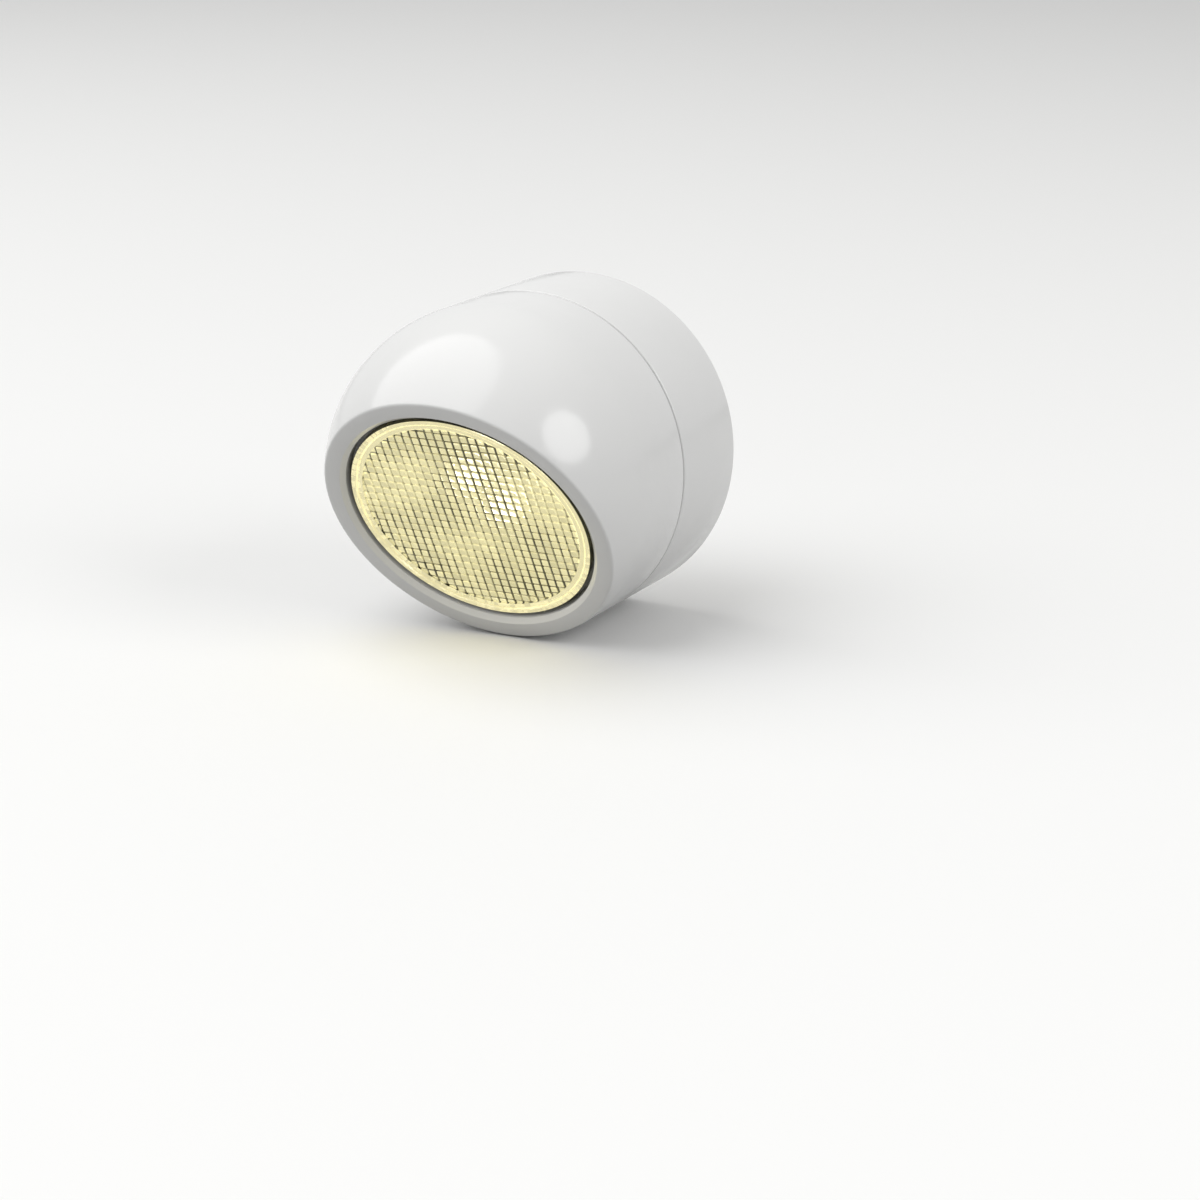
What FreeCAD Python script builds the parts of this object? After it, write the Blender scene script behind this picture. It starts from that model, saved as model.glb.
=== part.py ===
"""Plug in night light: a fixed plug base and a bullet-shaped head that swivels on it.

Millimetres, +Z up. The origin is the centre of the flat rear face.
The plug blades stand out of the rear face along +Y, and the head points the other way, along -Y.
Sizes called depth are measured from the rear face towards -Y.
Sizes called height in the head are measured along the tilted face's own axis from the dome's centre.
"""
import FreeCAD, Part
import math
import os
from FreeCAD import Rotation, Vector

# Edges and planes count as the same within this distance
tolerance = 1e-6

# Outside of the body
body_radius = 20.25
seam_gap = 0.3
dome_room = 5.9
face_tilt = 30.0
face_height = 8.71
shell_wall = 1.8
rear_edge_radius = 0.5
seam_edge_radius = 0.2
face_edge_radius = 0.3

# Clearances
lid_clearance = 0.1
slot_clearance = 0.1
screw_clearance = 0.05
swivel_clearance = 0.05
board_clearance = 0.3
lens_clearance = 0.1

# Lids that close the base and the head, each in a step of its shell
lid_step = 0.6
cover_thickness = 2.0
plate_thickness = 2.4

# Plug blades
blade_spacing = 12.7
blade_thickness = 1.5
blade_length = 17.5
hot_width = 6.35
neutral_width = 7.9
blade_tip_width_cut = 1.4
blade_tip_length_cut = 1.6
blade_tip_bevel = 0.4
blade_hole_radius = 1.5
blade_hole_reach = 11.7
shoulder_overhang = 1.1
shoulder_length = 1.3
tail_width = 3.0
tail_stand = 1.0

# Blade carrier
carrier_width = 24.0
carrier_height = 13.0
carrier_thickness = 2.4
carrier_corner_radius = 1.5

# Driver board and the room over it
board_thickness = 1.6
component_room = 5.65
rib_width = 2.4
rib_reach = 1.5
rib_angle = 18.0

# Cover screws
cover_screw_inset = 3.95
cover_screw_radius = 1.1
cover_screw_length = 7.0
cover_head_radius = 2.2
cover_head_height = 1.2
cover_boss_radius = 2.8
recess_width = 0.7
recess_depth_share = 0.6
recess_length_share = 0.6
screw_tip_share = 0.25

# Swivel
front_wall = 2.5
hub_radius = 4.0
hub_bore_radius = 2.4
hub_end_length = 1.1
groove_depth = 0.8
ring_radius = 6.0
ring_thickness = 1.0
ring_mouth = 5.0
washer_radius = 8.5
stop_radius = 11.0
stop_width = 1.8
stop_height = 1.0
stop_half_angle = 4.7
stop_travel = 170.0
stop_clearance = 0.2
lug_angle = 90.0
stop_rib_angle = 270.0

# Head plate screws
plate_screw_inset = 2.35
plate_screw_radius = 0.9
plate_screw_length = 4.0
plate_head_radius = 1.8
plate_head_height = 1.1
plate_boss_radius = 2.4
plate_screw_count = 3
first_screw_angle = 90.0

# Lens and its seat
rim_width = 1.93
mouth_chamfer = 0.58
shelf_width = 1.3
shelf_height = 5.0
shelf_thickness = 1.4
lens_gap = 0.55
lens_recess = 0.7
lens_flange_thickness = 0.7
lens_plate_thickness = 1.3
lens_rim_width = 0.65
lens_rim_rise = 0.25
lens_edge_radius = 0.2

# Light source
reflector_clearance = 0.2
reflector_flange_thickness = 1.0
reflector_mouth_inset = 0.6
reflector_floor_width = 2.2
reflector_neck_height = 0.9
led_board_radius = 11.8
led_board_gap = 0.43
led_board_thickness = 1.6
led_width = 2.8
led_length = 3.5
led_thickness = 0.8
led_ring_radius = 2.7
led_first_angle = 129.0
led_count = 2
chip_resistor_width = 1.6
chip_resistor_length = 3.2
chip_resistor_thickness = 0.6
chip_resistor_offset = 6.8
led_screw_radius = 0.7
led_screw_length = 2.6
led_screw_head_radius = 1.3
led_screw_head_height = 0.7
led_screw_count = 3

# Leads through the hub
lead_radius = 0.6
lead_offset = 0.9

# Parts on the driver board
electrolytic_radius = 2.4
electrolytic_length = 9.0
electrolytic_crimp_inset = 1.1
electrolytic_crimp_length = 0.56
electrolytic_crimp_depth = 0.24
film_width = 8.6
film_height = 4.6
film_thickness = 5.0
film_corner_radius = 0.6
capacitor_inset = 8.85
capacitor_gap = 3.9
rectifier_width = 4.7
rectifier_height = 3.9
rectifier_thickness = 2.5
chip_width = 3.9
chip_height = 4.9
chip_thickness = 1.5
chip_inset = 6.2
package_leg_width = 0.5
package_leg_reach = 0.9
package_leg_thickness = 0.3
rectifier_leg_pairs = 2
chip_leg_pairs = 4
fuse_resistor_radius = 1.6
fuse_resistor_length = 7.0
bleed_resistor_radius = 1.1
bleed_resistor_length = 4.6
resistor_wire_radius = 0.3
resistor_wire_reach = 1.4
resistor_lift = 0.4
resistor_edge_share = 0.25
fuse_inset = 7.45
bleed_inset = 11.25
resistor_inset = 10.25
rectifier_side_inset = 8.95
rectifier_low_inset = 9.85

# Values that follow from those above
carrier_front = cover_thickness + carrier_thickness
board_rear = carrier_front
board_front = board_rear + board_thickness
base_inside_front = board_front + component_room
base_front = base_inside_front + front_wall
head_rear = base_front + seam_gap
plate_front = head_rear + plate_thickness
dome_depth = plate_front + dome_room
inner_radius = body_radius - shell_wall
step_radius = inner_radius + lid_step
lid_radius = step_radius - lid_clearance
tail_depth = board_front + tail_stand
groove_front = base_inside_front
groove_rear = base_inside_front - ring_thickness - 2 * swivel_clearance
hub_rear = groove_rear - hub_end_length
groove_radius = hub_radius - groove_depth
cover_screw_offset = inner_radius - cover_screw_inset
plate_screw_offset = inner_radius - plate_screw_inset
face_radius = math.sqrt(body_radius**2 - face_height**2)
opening_radius = face_radius - rim_width - mouth_chamfer
shelf_radius = opening_radius - shelf_width
seat_height = shelf_height + shelf_thickness
lens_radius = opening_radius - lens_gap
lens_front = face_height - lens_recess
tilt = math.radians(face_tilt)
led_board_reach = plate_front + led_board_gap + led_board_radius * math.sin(tilt) - dome_depth
led_board_height = led_board_reach / math.cos(tilt)
led_board_front = led_board_height + led_board_thickness
reflector_flange_radius = opening_radius - reflector_clearance
reflector_mouth_radius = shelf_radius - reflector_mouth_inset
reflector_floor_radius = led_board_radius - reflector_floor_width
led_screw_offset = led_board_radius - reflector_floor_width / 2
stop_rib_half_angle = 180.0 - stop_travel - stop_half_angle - stop_clearance
capacitor_row = inner_radius - capacitor_inset
chip_offset = inner_radius - chip_inset
fuse_row = fuse_inset - inner_radius
bleed_row = bleed_inset - inner_radius
resistor_column = inner_radius - resistor_inset
rectifier_column = rectifier_side_inset - inner_radius
rectifier_row = rectifier_low_inset - inner_radius
dome_centre = Vector(0, -dome_depth, 0)
face_normal = Vector(0, -math.cos(tilt), -math.sin(tilt))
face_up = Vector(0, -math.sin(tilt), math.cos(tilt))
face_side = Vector(1, 0, 0)
outward = Vector(0, -1, 0)
big = 4 * body_radius


def rod(radius, depth_from, depth_to, x=0.0, z=0.0):
    """A cylinder along the body's axis between two depths."""
    return Part.makeCylinder(radius, depth_to - depth_from, Vector(x, -depth_from, z), outward)


def tube(outer, inner, depth_from, depth_to):
    """A tube along the body's axis between two depths."""
    return rod(outer, depth_from, depth_to).cut(rod(inner, depth_from, depth_to))


def block(width, height, depth_from, depth_to, x=0.0, z=0.0):
    """A box centred on x and z between two depths."""
    corner = Vector(x - width / 2, -depth_to, z - height / 2)
    return Part.makeBox(width, depth_to - depth_from, height, corner)


def face_point(height, side=0.0, up=0.0):
    """A point given in the tilted face's own directions."""
    return dome_centre + face_normal * height + face_side * side + face_up * up


def face_rod(radius, height_from, height_to, side=0.0, up=0.0):
    """A cylinder along the tilted face's axis between two heights."""
    return Part.makeCylinder(
        radius, height_to - height_from, face_point(height_from, side, up), face_normal
    )


def face_block(width, length, height_from, height_to, side=0.0, up=0.0, turn=0.0):
    """A box standing on a plane parallel to the tilted face, turned about its own middle."""
    box = Part.makeBox(width, length, height_to - height_from)
    box.translate(Vector(-width / 2, -length / 2, 0))
    box.rotate(Vector(0, 0, 0), Vector(0, 0, 1), turn)
    box.Placement = FreeCAD.Placement(
        face_point(height_from, side, up), Rotation(face_side, face_up, face_normal)
    ).multiply(box.Placement)
    return box


def below_face(height):
    """The half of space that lies behind a plane parallel to the tilted face."""
    return face_rod(big, height - big, height)


def turned(points, centre, axis_up, axis_side):
    """A solid turned from (radius, height) points about the axis through centre."""
    places = [centre + axis_side * r + axis_up * h for r, h in points]
    outline = Part.makePolygon(places + [places[0]])
    return Part.Face(outline).revolve(centre, axis_up, 360)


def face_turned(points):
    """A solid turned about the tilted face's axis."""
    return turned(points, dome_centre, face_normal, face_side)


def bullet(radius, depth_from):
    """A cylinder from a depth to the dome's centre, closed by a half ball."""
    rear = Vector(0, -depth_from, 0)
    corner = Vector(radius, -depth_from, 0)
    shoulder = Vector(radius, -dome_depth, 0)
    middle = dome_centre + Vector(math.cos(math.pi / 4), -math.sin(math.pi / 4), 0) * radius
    tip = dome_centre + outward * radius
    edges = [
        Part.makeLine(rear, corner),
        Part.makeLine(corner, shoulder),
        Part.Arc(shoulder, middle, tip).toShape(),
        Part.makeLine(tip, rear),
    ]
    return Part.Face(Part.Wire(edges)).revolve(dome_centre, outward, 360)


def on_circle(radius, angle):
    """X and Z at an angle from +X towards +Z."""
    return radius * math.cos(math.radians(angle)), radius * math.sin(math.radians(angle))


def sector(inner, outer, depth_from, depth_to, middle_angle, half_angle):
    """A part of a flat ring about the body's axis."""
    first, last = middle_angle - half_angle, middle_angle + half_angle

    def at(radius, angle):
        x, z = on_circle(radius, angle)
        return Vector(x, -depth_from, z)

    edges = [
        Part.Arc(at(outer, first), at(outer, middle_angle), at(outer, last)).toShape(),
        Part.makeLine(at(outer, last), at(inner, last)),
        Part.Arc(at(inner, last), at(inner, middle_angle), at(inner, first)).toShape(),
        Part.makeLine(at(inner, first), at(outer, first)),
    ]
    return Part.Face(Part.Wire(edges)).extrude(outward * (depth_to - depth_from))


def round_edges_at(shape, radius, depth, edge_radius):
    """Rounds the circular edges of one radius that lie at one depth."""
    edges = []
    for edge in shape.Edges:
        box = edge.BoundBox
        flat = abs(box.YMin + depth) < tolerance and abs(box.YMax + depth) < tolerance
        if flat and abs(box.XMax - radius) < tolerance:
            edges.append(edge)
    return shape.makeFillet(edge_radius, edges)


def cross_recess(screw, head_radius, head_height, middle, along, side):
    """Cuts a cross into a screw head whose outer face has its middle at the given point."""
    depth = head_height * recess_depth_share
    other = along.cross(side)
    for first, second in ((side, other), (other, side)):
        bar = Part.makeBox(2 * recess_length_share * head_radius, recess_width, depth)
        bar.translate(Vector(-recess_length_share * head_radius, -recess_width / 2, 0))
        bar.Placement = FreeCAD.Placement(middle, Rotation(first, second, along)).multiply(
            bar.Placement
        )
        screw = screw.cut(bar)
    return screw


def cover_screw_places():
    """The two screws stand above and below the blades."""
    return [(0.0, cover_screw_offset), (0.0, -cover_screw_offset)]


def plate_screw_places():
    """The head plate's screws, the first one straight above the axis."""
    step = 360.0 / plate_screw_count
    return [on_circle(plate_screw_offset, first_screw_angle + step * n) for n in range(plate_screw_count)]


def led_screw_places():
    """The lamp board's screws, as side and up distances in the tilted face's directions."""
    step = 360.0 / led_screw_count
    return [on_circle(led_screw_offset, first_screw_angle + step * n) for n in range(led_screw_count)]


def rib_places():
    """Angles of the ribs that the driver board lies on."""
    return [rib_angle, 180 - rib_angle, 180 + rib_angle, 360 - rib_angle]


def blade_places():
    """Each blade's name, x and width. The wide blade is the neutral one."""
    half = blade_spacing / 2
    return [("neutral_blade", -half, neutral_width), ("hot_blade", half, hot_width)]


def make_base_shell():
    """The fixed ring: an open cup with a front wall that the hub runs in."""
    shell = rod(body_radius, 0, base_front)
    shell = shell.cut(rod(inner_radius, 0, base_inside_front))
    shell = shell.cut(rod(step_radius, 0, cover_thickness))
    for x, z in cover_screw_places():
        shell = shell.fuse(rod(cover_boss_radius, cover_thickness, base_inside_front, x, z))
    for angle in rib_places():
        rib = block(rib_reach + shell_wall / 2, rib_width, board_front, base_inside_front)
        rib.translate(Vector(inner_radius - rib_reach / 2 + shell_wall / 4, 0, 0))
        rib.rotate(Vector(0, 0, 0), outward, angle)
        shell = shell.fuse(rib)
    for x, z in cover_screw_places():
        pilot = cover_screw_radius + screw_clearance
        shell = shell.cut(rod(pilot, cover_thickness, cover_thickness + cover_screw_length, x, z))
    shell = shell.cut(rod(hub_radius + swivel_clearance, base_inside_front, base_front))
    groove = stop_width / 2 + stop_clearance
    track = tube(
        stop_radius + groove, stop_radius - groove, base_front - stop_height - stop_clearance,
        base_front,
    )
    stop_rib = sector(
        stop_radius - 2 * groove, stop_radius + 2 * groove,
        base_front - stop_height - stop_clearance, base_front, stop_rib_angle, stop_rib_half_angle,
    )
    shell = shell.cut(track.cut(stop_rib))
    shell = shell.removeSplitter()
    shell = round_edges_at(shell, body_radius, 0, rear_edge_radius)
    return round_edges_at(shell, body_radius, base_front, seam_edge_radius)


def make_rear_cover():
    """The disc that closes the rear, with the slots of the blades and two sunk screw holes."""
    cover = rod(lid_radius, 0, cover_thickness)
    for _, x, width in blade_places():
        slot = block(
            blade_thickness + 2 * slot_clearance, width + 2 * slot_clearance,
            0, cover_thickness, x,
        )
        cover = cover.cut(slot)
    for x, z in cover_screw_places():
        cover = cover.cut(rod(cover_screw_radius + lid_clearance, 0, cover_thickness, x, z))
        cover = cover.cut(rod(cover_head_radius + lid_clearance, 0, cover_head_height, x, z))
    return cover


def make_blade(x, width):
    """A flat blade with a hole and a cut tip, a shoulder behind the cover and a solder tail."""
    half = width / 2
    shaft_rear = blade_length
    side_view = [
        (half - blade_tip_width_cut, shaft_rear),
        (half, shaft_rear - blade_tip_length_cut),
        (half, -cover_thickness),
        (half + shoulder_overhang, -cover_thickness),
        (half + shoulder_overhang, -cover_thickness - shoulder_length),
        (tail_width / 2, -cover_thickness - shoulder_length),
        (tail_width / 2, -tail_depth),
    ]
    outline = side_view + [(-z, y) for z, y in reversed(side_view)]
    places = [Vector(x - blade_thickness / 2, y, z) for z, y in outline]
    blade = Part.Face(Part.makePolygon(places + [places[0]])).extrude(
        Vector(blade_thickness, 0, 0)
    )
    edge = blade_thickness / 2
    top_view = [
        (edge - blade_tip_bevel, shaft_rear),
        (edge, shaft_rear - 2 * blade_tip_bevel),
        (edge, -tail_depth),
    ]
    outline = top_view + [(-u, y) for u, y in reversed(top_view)]
    places = [Vector(x + u, y, -width) for u, y in outline]
    bevel = Part.Face(Part.makePolygon(places + [places[0]])).extrude(Vector(0, 0, 2 * width))
    blade = blade.common(bevel)
    hole = Part.makeCylinder(
        blade_hole_radius, 2 * blade_thickness,
        Vector(x - blade_thickness, blade_hole_reach, 0), Vector(1, 0, 0),
    )
    return blade.cut(hole)


def make_blade_carrier():
    """The insulating block that traps the blades' shoulders against the rear cover."""
    carrier = block(carrier_width, carrier_height, cover_thickness, carrier_front)
    corners = [e for e in carrier.Edges if abs(e.BoundBox.YLength - carrier_thickness) < tolerance]
    carrier = carrier.makeFillet(carrier_corner_radius, corners)
    for _, x, width in blade_places():
        pocket = block(
            blade_thickness + 2 * slot_clearance,
            width + 2 * shoulder_overhang + 2 * slot_clearance,
            cover_thickness, cover_thickness + shoulder_length, x,
        )
        tail = block(
            blade_thickness + 2 * slot_clearance, tail_width + 2 * slot_clearance,
            cover_thickness, carrier_front, x,
        )
        carrier = carrier.cut(pocket).cut(tail)
    return carrier


def make_driver_board():
    """The round board that feeds the lamps, notched for the screw bosses."""
    board = rod(inner_radius - board_clearance, board_rear, board_front)
    notch = cover_boss_radius + board_clearance
    for x, z in cover_screw_places():
        board = board.cut(rod(notch, board_rear, board_front, x, z))
        reach = body_radius - cover_screw_offset
        board = board.cut(
            block(2 * notch, reach, board_rear, board_front, x, math.copysign(1, z) * (
                cover_screw_offset + reach / 2))
        )
    for _, x, _ in blade_places():
        slot = block(
            blade_thickness + 2 * slot_clearance, tail_width + 2 * slot_clearance,
            board_rear, board_front, x,
        )
        board = board.cut(slot)
    return board


def make_electrolytic_capacitor():
    """A small can lying on the board, with its crimped end."""
    depth = board_front + electrolytic_radius
    start = Vector(capacitor_gap, -depth, capacitor_row)
    can = Part.makeCylinder(electrolytic_radius, electrolytic_length, start, Vector(1, 0, 0))
    crimp_start = start + Vector(electrolytic_crimp_inset, 0, 0)
    waist_radius = electrolytic_radius - electrolytic_crimp_depth
    outer = Part.makeCylinder(big, electrolytic_crimp_length, crimp_start, Vector(1, 0, 0))
    waist = Part.makeCylinder(waist_radius, electrolytic_crimp_length, crimp_start, Vector(1, 0, 0))
    return can.cut(outer.cut(waist))


def make_film_capacitor():
    """A moulded box capacitor."""
    x = -capacitor_gap - film_width / 2
    box = block(film_width, film_height, board_front, board_front + film_thickness, x, capacitor_row)
    corners = [e for e in box.Edges if abs(e.BoundBox.YLength - film_thickness) < tolerance]
    return box.makeFillet(film_corner_radius, corners)


def make_package(width, height, thickness, x, z, pairs):
    """A moulded package with flat legs on its two long sides."""
    body = block(width, height, board_front, board_front + thickness, x, z)
    pitch = height / pairs
    for n in range(pairs):
        row = z + pitch * (n - (pairs - 1) / 2)
        leg = block(
            width + 2 * package_leg_reach, package_leg_width,
            board_front, board_front + package_leg_thickness, x, row,
        )
        body = body.fuse(leg)
    return body.removeSplitter()


def make_axial_resistor(radius, length, x, z):
    """A round resistor held off the board by its two bent wires."""
    depth = board_front + resistor_lift + radius
    half = length / 2
    along = Vector(1, 0, 0)
    body = Part.makeCylinder(radius, length, Vector(x - half, -depth, z), along)
    ends = [edge for edge in body.Edges if edge.BoundBox.XLength < tolerance]
    body = body.makeFillet(radius * resistor_edge_share, ends)
    reach = half + resistor_wire_reach
    wire = Part.makeCylinder(resistor_wire_radius, 2 * reach, Vector(x - reach, -depth, z), along)
    body = body.fuse(wire)
    for side in (-1, 1):
        foot = side * (reach - resistor_wire_radius)
        leg = rod(resistor_wire_radius, board_front, depth + resistor_wire_radius, x + foot, z)
        body = body.fuse(leg)
    return body


def make_screw(radius, length, head_radius, head_height, middle, along, side):
    """A screw whose head's outer face has its middle at the given point."""
    head = Part.makeCylinder(head_radius, head_height, middle, along)
    shank = Part.makeCylinder(radius, length - radius, middle + along * head_height, along)
    tip = Part.makeCone(radius, radius * screw_tip_share, radius, middle + along * (
        head_height + length - radius), along)
    screw = head.fuse(shank).fuse(tip)
    return cross_recess(screw, head_radius, head_height, middle, along, side)


def make_cover_screws():
    """Two screws from the rear into the base's bosses."""
    length = cover_thickness - cover_head_height + cover_screw_length - lid_clearance
    screws = [
        make_screw(
            cover_screw_radius, length, cover_head_radius, cover_head_height,
            Vector(x, 0, z), outward, face_side,
        )
        for x, z in cover_screw_places()
    ]
    return Part.makeCompound(screws)


def make_friction_washer():
    """The flat ring in the seam that gives the swivel its drag."""
    return tube(washer_radius, hub_radius + swivel_clearance, base_front, head_rear)


def make_head_plate():
    """The head's rear disc with its hollow hub and the lug that meets the stop."""
    plate = rod(lid_radius, head_rear, plate_front)
    plate = plate.fuse(rod(hub_radius, hub_rear, head_rear))
    plate = plate.cut(tube(big, groove_radius, groove_rear, groove_front))
    lug = sector(
        stop_radius - stop_width / 2, stop_radius + stop_width / 2,
        base_front - stop_height, head_rear, lug_angle, stop_half_angle,
    )
    plate = plate.fuse(lug)
    plate = plate.cut(rod(hub_bore_radius, hub_rear, plate_front))
    for x, z in plate_screw_places():
        plate = plate.cut(rod(plate_screw_radius + lid_clearance, head_rear, plate_front, x, z))
        sunk = head_rear + plate_head_height
        plate = plate.cut(rod(plate_head_radius + lid_clearance, head_rear, sunk, x, z))
    return plate


def make_retaining_ring():
    """The spring clip in the hub's groove, behind the base's front wall."""
    front = groove_front - swivel_clearance
    ring = tube(ring_radius, groove_radius, front - ring_thickness, front)
    mouth = block(ring_mouth, ring_radius, front - ring_thickness, front, 0, -ring_radius / 2)
    return ring.cut(mouth)


def make_plate_screws():
    """Three screws that hold the head plate to the head's bosses."""
    length = plate_thickness - plate_head_height + plate_screw_length - lid_clearance
    screws = [
        make_screw(
            plate_screw_radius, length, plate_head_radius, plate_head_height,
            Vector(x, -head_rear, z), outward, face_side,
        )
        for x, z in plate_screw_places()
    ]
    return Part.makeCompound(screws)


def make_head_shell():
    """The bullet-shaped shell, cut by the tilted face, with the lens seat and three bosses."""
    shell = bullet(body_radius, head_rear).common(below_face(face_height))
    shell = round_edges_at(shell, body_radius, head_rear, seam_edge_radius)
    rim = [
        edge for edge in shell.Edges
        if abs((edge.valueAt(edge.FirstParameter) - face_point(face_height)).dot(face_normal)) < tolerance
        and abs((edge.valueAt(edge.LastParameter) - face_point(face_height)).dot(face_normal)) < tolerance
    ]
    shell = shell.makeFillet(face_edge_radius, rim)
    cavity = bullet(inner_radius, head_rear).common(below_face(shelf_height))
    clear_of_reflector = below_face(shelf_height - reflector_flange_thickness - board_clearance)
    for x, z in plate_screw_places():
        boss = rod(plate_boss_radius, plate_front, plate_front + plate_screw_length, x, z)
        cavity = cavity.cut(boss.common(clear_of_reflector))
    shell = shell.cut(cavity)
    shell = shell.cut(rod(step_radius, head_rear, plate_front))
    shell = shell.cut(face_rod(shelf_radius, shelf_height, seat_height))
    shell = shell.cut(face_rod(opening_radius, seat_height, face_height))
    shell = shell.cut(face_turned([
        (0, face_height - mouth_chamfer),
        (opening_radius, face_height - mouth_chamfer),
        (opening_radius + mouth_chamfer, face_height),
        (0, face_height),
    ]))
    for x, z in plate_screw_places():
        pilot = plate_screw_radius + screw_clearance
        shell = shell.cut(rod(pilot, plate_front, plate_front + plate_screw_length, x, z))
    return shell


def make_lens():
    """The lens: a flange on the seat, a raised smooth ring and a flat field inside it."""
    rim_inner = lens_radius - lens_rim_width
    field_front = lens_front - lens_rim_rise
    flange_radius = opening_radius - lens_clearance
    flange_front = seat_height + lens_flange_thickness
    back = field_front - lens_plate_thickness
    lens = face_turned([
        (0, back),
        (shelf_radius - lens_clearance, back),
        (shelf_radius - lens_clearance, seat_height),
        (flange_radius, seat_height),
        (flange_radius, flange_front),
        (lens_radius, flange_front),
        (lens_radius, lens_front),
        (rim_inner, lens_front),
        (rim_inner, field_front),
        (0, field_front),
    ])
    rim = []
    for edge in lens.Edges:
        point = edge.valueAt(edge.FirstParameter) - face_point(lens_front)
        on_front = abs(point.dot(face_normal)) < tolerance
        if edge.isClosed() and on_front and abs(point.Length - lens_radius) < tolerance:
            rim.append(edge)
    return lens.makeFillet(lens_edge_radius, rim)


def make_reflector():
    """The white cone between the lamp board and the lens shelf."""
    flange_rear = shelf_height - reflector_flange_thickness
    neck = led_board_front + reflector_neck_height
    cone = face_turned([
        (reflector_floor_radius, led_board_front),
        (led_board_radius, led_board_front),
        (led_board_radius, neck),
        (reflector_flange_radius, flange_rear),
        (reflector_flange_radius, shelf_height),
        (reflector_mouth_radius, shelf_height),
    ])
    for side, up in led_screw_places():
        pilot = led_screw_radius + screw_clearance
        hole = face_rod(pilot, led_board_front, led_board_height + led_screw_length, side, up)
        cone = cone.cut(hole)
    return cone


def make_led_board():
    """The round board that carries the lamps."""
    board = face_rod(led_board_radius, led_board_height, led_board_front)
    for side, up in led_screw_places():
        hole = face_rod(
            led_screw_radius + lid_clearance, led_board_height, led_board_front, side, up
        )
        board = board.cut(hole)
    return board


def make_leds():
    """The surface lamps, evenly spaced on a small circle about the face's axis."""
    lamps = []
    for n in range(led_count):
        angle = led_first_angle + 360.0 / led_count * n
        side, up = on_circle(led_ring_radius, angle)
        lamps.append(
            face_block(
                led_width, led_length, led_board_front, led_board_front + led_thickness,
                side, up, angle,
            )
        )
    return Part.makeCompound(lamps)


def make_chip_resistors():
    """Two flat resistors, one on each side of the lamps."""
    chips = [
        face_block(
            chip_resistor_width, chip_resistor_length,
            led_board_front, led_board_front + chip_resistor_thickness, side,
        )
        for side in (-chip_resistor_offset, chip_resistor_offset)
    ]
    return Part.makeCompound(chips)


def make_led_screws():
    """Three small screws from behind the lamp board into the reflector."""
    screws = [
        make_screw(
            led_screw_radius, led_screw_length - lid_clearance,
            led_screw_head_radius, led_screw_head_height,
            face_point(led_board_height - led_screw_head_height, side, up), face_normal, face_side,
        )
        for side, up in led_screw_places()
    ]
    return Part.makeCompound(screws)


def make_lead(side):
    """One lead, straight through the hub from the driver board to the lamp board."""
    lead = rod(lead_radius, board_front, dome_depth + body_radius, side * lead_offset)
    return lead.common(below_face(led_board_height))


def save(name, shape):
    """Writes one piece to its own file and prints its volume."""
    shape.exportStep(f"parts/{name}.step")
    print(f"{name:24} {shape.Volume:9.1f} mm3  solids {len(shape.Solids)}  valid {shape.isValid()}")


os.makedirs("parts", exist_ok=True)
save("base_shell", make_base_shell())
save("rear_cover", make_rear_cover())
save("cover_screws", make_cover_screws())
for name, x, width in blade_places():
    save(name, make_blade(x, width))
save("blade_carrier", make_blade_carrier())
save("driver_board", make_driver_board())
save("electrolytic_capacitor", make_electrolytic_capacitor())
save("film_capacitor", make_film_capacitor())
save("bridge_rectifier", make_package(
    rectifier_width, rectifier_height, rectifier_thickness, rectifier_column, rectifier_row,
    rectifier_leg_pairs))
save("driver_chip", make_package(
    chip_width, chip_height, chip_thickness, chip_offset, 0, chip_leg_pairs))
save("fusible_resistor", make_axial_resistor(
    fuse_resistor_radius, fuse_resistor_length, resistor_column, fuse_row))
save("bleed_resistor", make_axial_resistor(
    bleed_resistor_radius, bleed_resistor_length, resistor_column, bleed_row))
save("friction_washer", make_friction_washer())
save("head_plate", make_head_plate())
save("retaining_ring", make_retaining_ring())
save("plate_screws", make_plate_screws())
save("head_shell", make_head_shell())
save("lens", make_lens())
save("reflector", make_reflector())
save("led_board", make_led_board())
save("leds", make_leds())
save("led_resistors", make_chip_resistors())
save("led_board_screws", make_led_screws())
save("positive_lead", make_lead(1))
save("negative_lead", make_lead(-1))
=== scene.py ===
"""Looks of the plug in night light: a white moulded base and swivelling head with a lit prism lens.

Metres, in the part's own frame: the origin is the centre of the flat rear face, the blades stand out of it
along +Y, +Z is up, and the head points the other way, along -Y, and shines out and down.
"""
import math
import bmesh
import bpy
from mathutils import Matrix, Vector


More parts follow.
